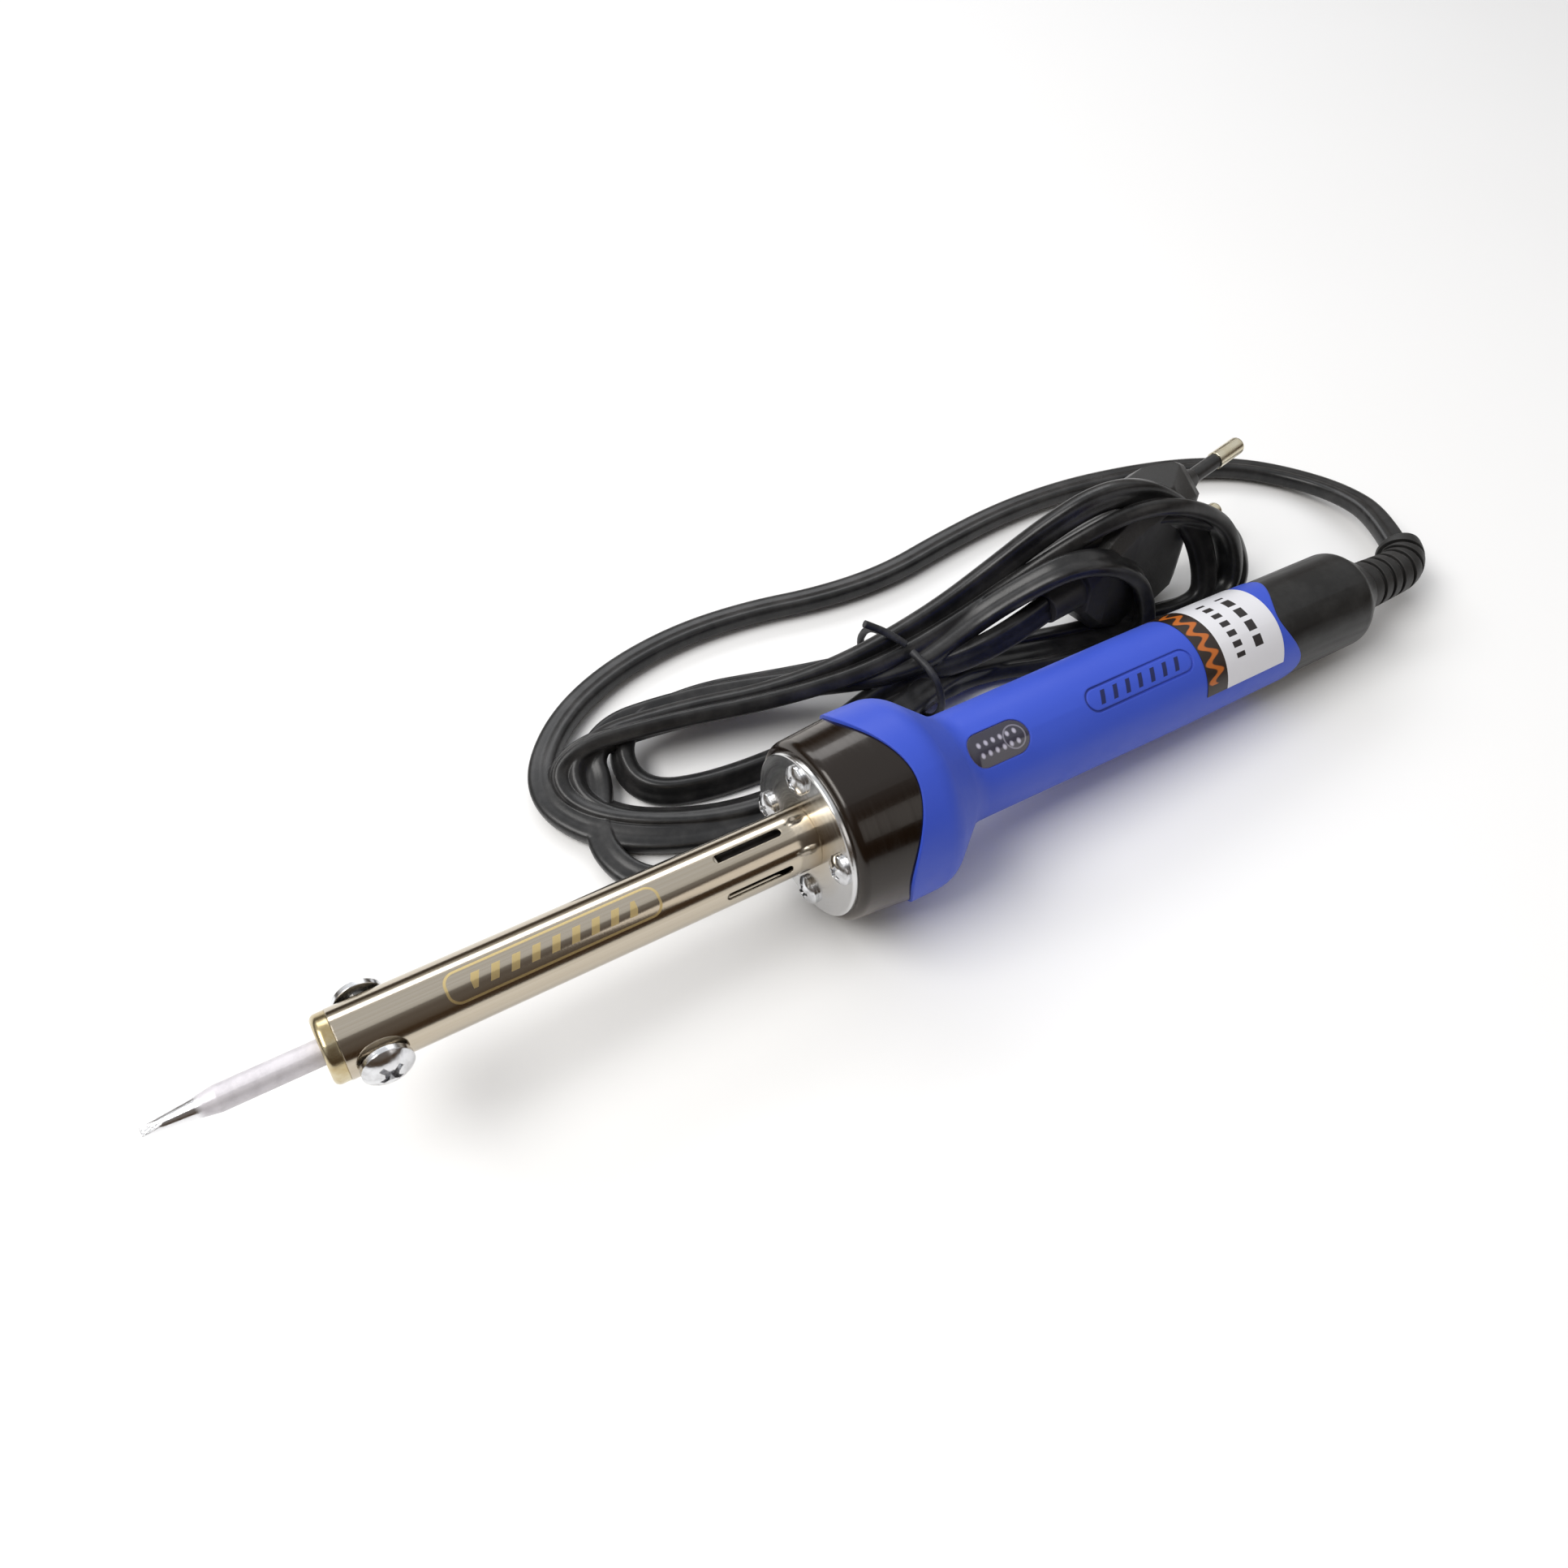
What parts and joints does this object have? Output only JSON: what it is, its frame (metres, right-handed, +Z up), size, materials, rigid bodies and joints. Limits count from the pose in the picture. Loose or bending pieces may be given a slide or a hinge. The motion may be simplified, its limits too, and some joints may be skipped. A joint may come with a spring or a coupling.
{
  "type": "soldering iron",
  "caption": "Mains soldering iron with a slotted metal barrel, clamped tip, soft flared grip with a pilot lamp, ribbed strain relief and a tied flat cord with a flat mains plug.",
  "frame": {"origin": "on the surface the iron lies on, under the middle of its length and its axis", "axes": "+X along the iron from the tip's end towards the cord, +Y to the side where the cord lies, +Z up"},
  "size_m": [0.2927, 0.0949, 0.0415],
  "materials": {
    "tip_plating": "satin iron plating, tinned and bright at the working end",
    "bush_brass": "nickel-flashed brass, polished",
    "zinc_screws": "bright zinc",
    "barrel_nickel": "warm nickel plate, polished, lightly heat-tinted",
    "ceramic": "fired ceramic",
    "resistance_wire": "dull oxidised wire",
    "mica": "satin flakes",
    "flange_steel": "polished steel",
    "collar_black": "glossy heat-proof moulding",
    "core_black": "satin moulding",
    "grip_blue": "soft-touch, matte",
    "window_clear": "clear moulded, glossy",
    "label_foil": "printed foil, white and dark brown",
    "lamp_glass": "glossy",
    "resistor_body": "lacquered",
    "bare_wire": "dull",
    "crimp_tin": "tinned",
    "live_insulation": "brown insulation",
    "neutral_insulation": "blue insulation",
    "stop_plastic": "natural nylon",
    "cord_black": "satin sheath",
    "boot_black": "matte moulded rubber",
    "tie_grey": "matte plastic-covered wire",
    "plug_black": "fine-grained moulding",
    "pin_nickel": "nickel-plated brass",
    "sleeve_black": "smooth"
  },
  "bodies": {
    "iron": {"nose_bush": "bush_brass", "flange_screws": "zinc_screws", "barrel_tube": "barrel_nickel", "heater_bobbin": "ceramic", "ceramic_bead": "ceramic", "heater_winding": "resistance_wire", "mica_sleeve": "mica", "heater_flange": "flange_steel", "front_collar": "collar_black", "handle_core": "core_black", "grip_sleeve": "grip_blue", "lamp_window": "window_clear", "rating_label": "label_foil", "neon_lamp": "lamp_glass", "lamp_resistor": "resistor_body", "heater_wire_live": "bare_wire", "heater_wire_neutral": "bare_wire", "crimp_live": "crimp_tin", "crimp_neutral": "crimp_tin", "cord_wire_live": "live_insulation", "cord_wire_neutral": "neutral_insulation", "cord_stop": "stop_plastic", "cord_tail": "cord_black", "cord_lead": "cord_black", "cord_hank": "cord_black", "strain_relief_boot": "boot_black", "twist_tie": "tie_grey", "plug_body": "plug_black", "plug_pins": "pin_nickel", "pin_sleeves": "sleeve_black"},
    "tip": {"tip": "tip_plating"},
    "clamp_screw_lower": {"clamp_screw_lower": "zinc_screws"},
    "clamp_screw_upper": {"clamp_screw_upper": "zinc_screws"}
  },
  "joints": [
    {"name": "tip_slide", "type": "slide", "parent": "iron", "child": "tip", "axis": [-0.9976, 0, 0.0698], "range_m": [0, 0.05]},
    {"name": "lower_screw_turn", "type": "hinge", "parent": "iron", "child": "clamp_screw_lower", "pos_m": [-0.10859, 0, 0.02602], "axis": [0.0041, -0.9982, 0.0592], "range_deg": [0, 720]},
    {"name": "upper_screw_turn", "type": "hinge", "parent": "iron", "child": "clamp_screw_upper", "pos_m": [-0.10859, 0, 0.02602], "axis": [-0.0041, 0.9982, -0.0592], "range_deg": [0, 720]}
  ]
}
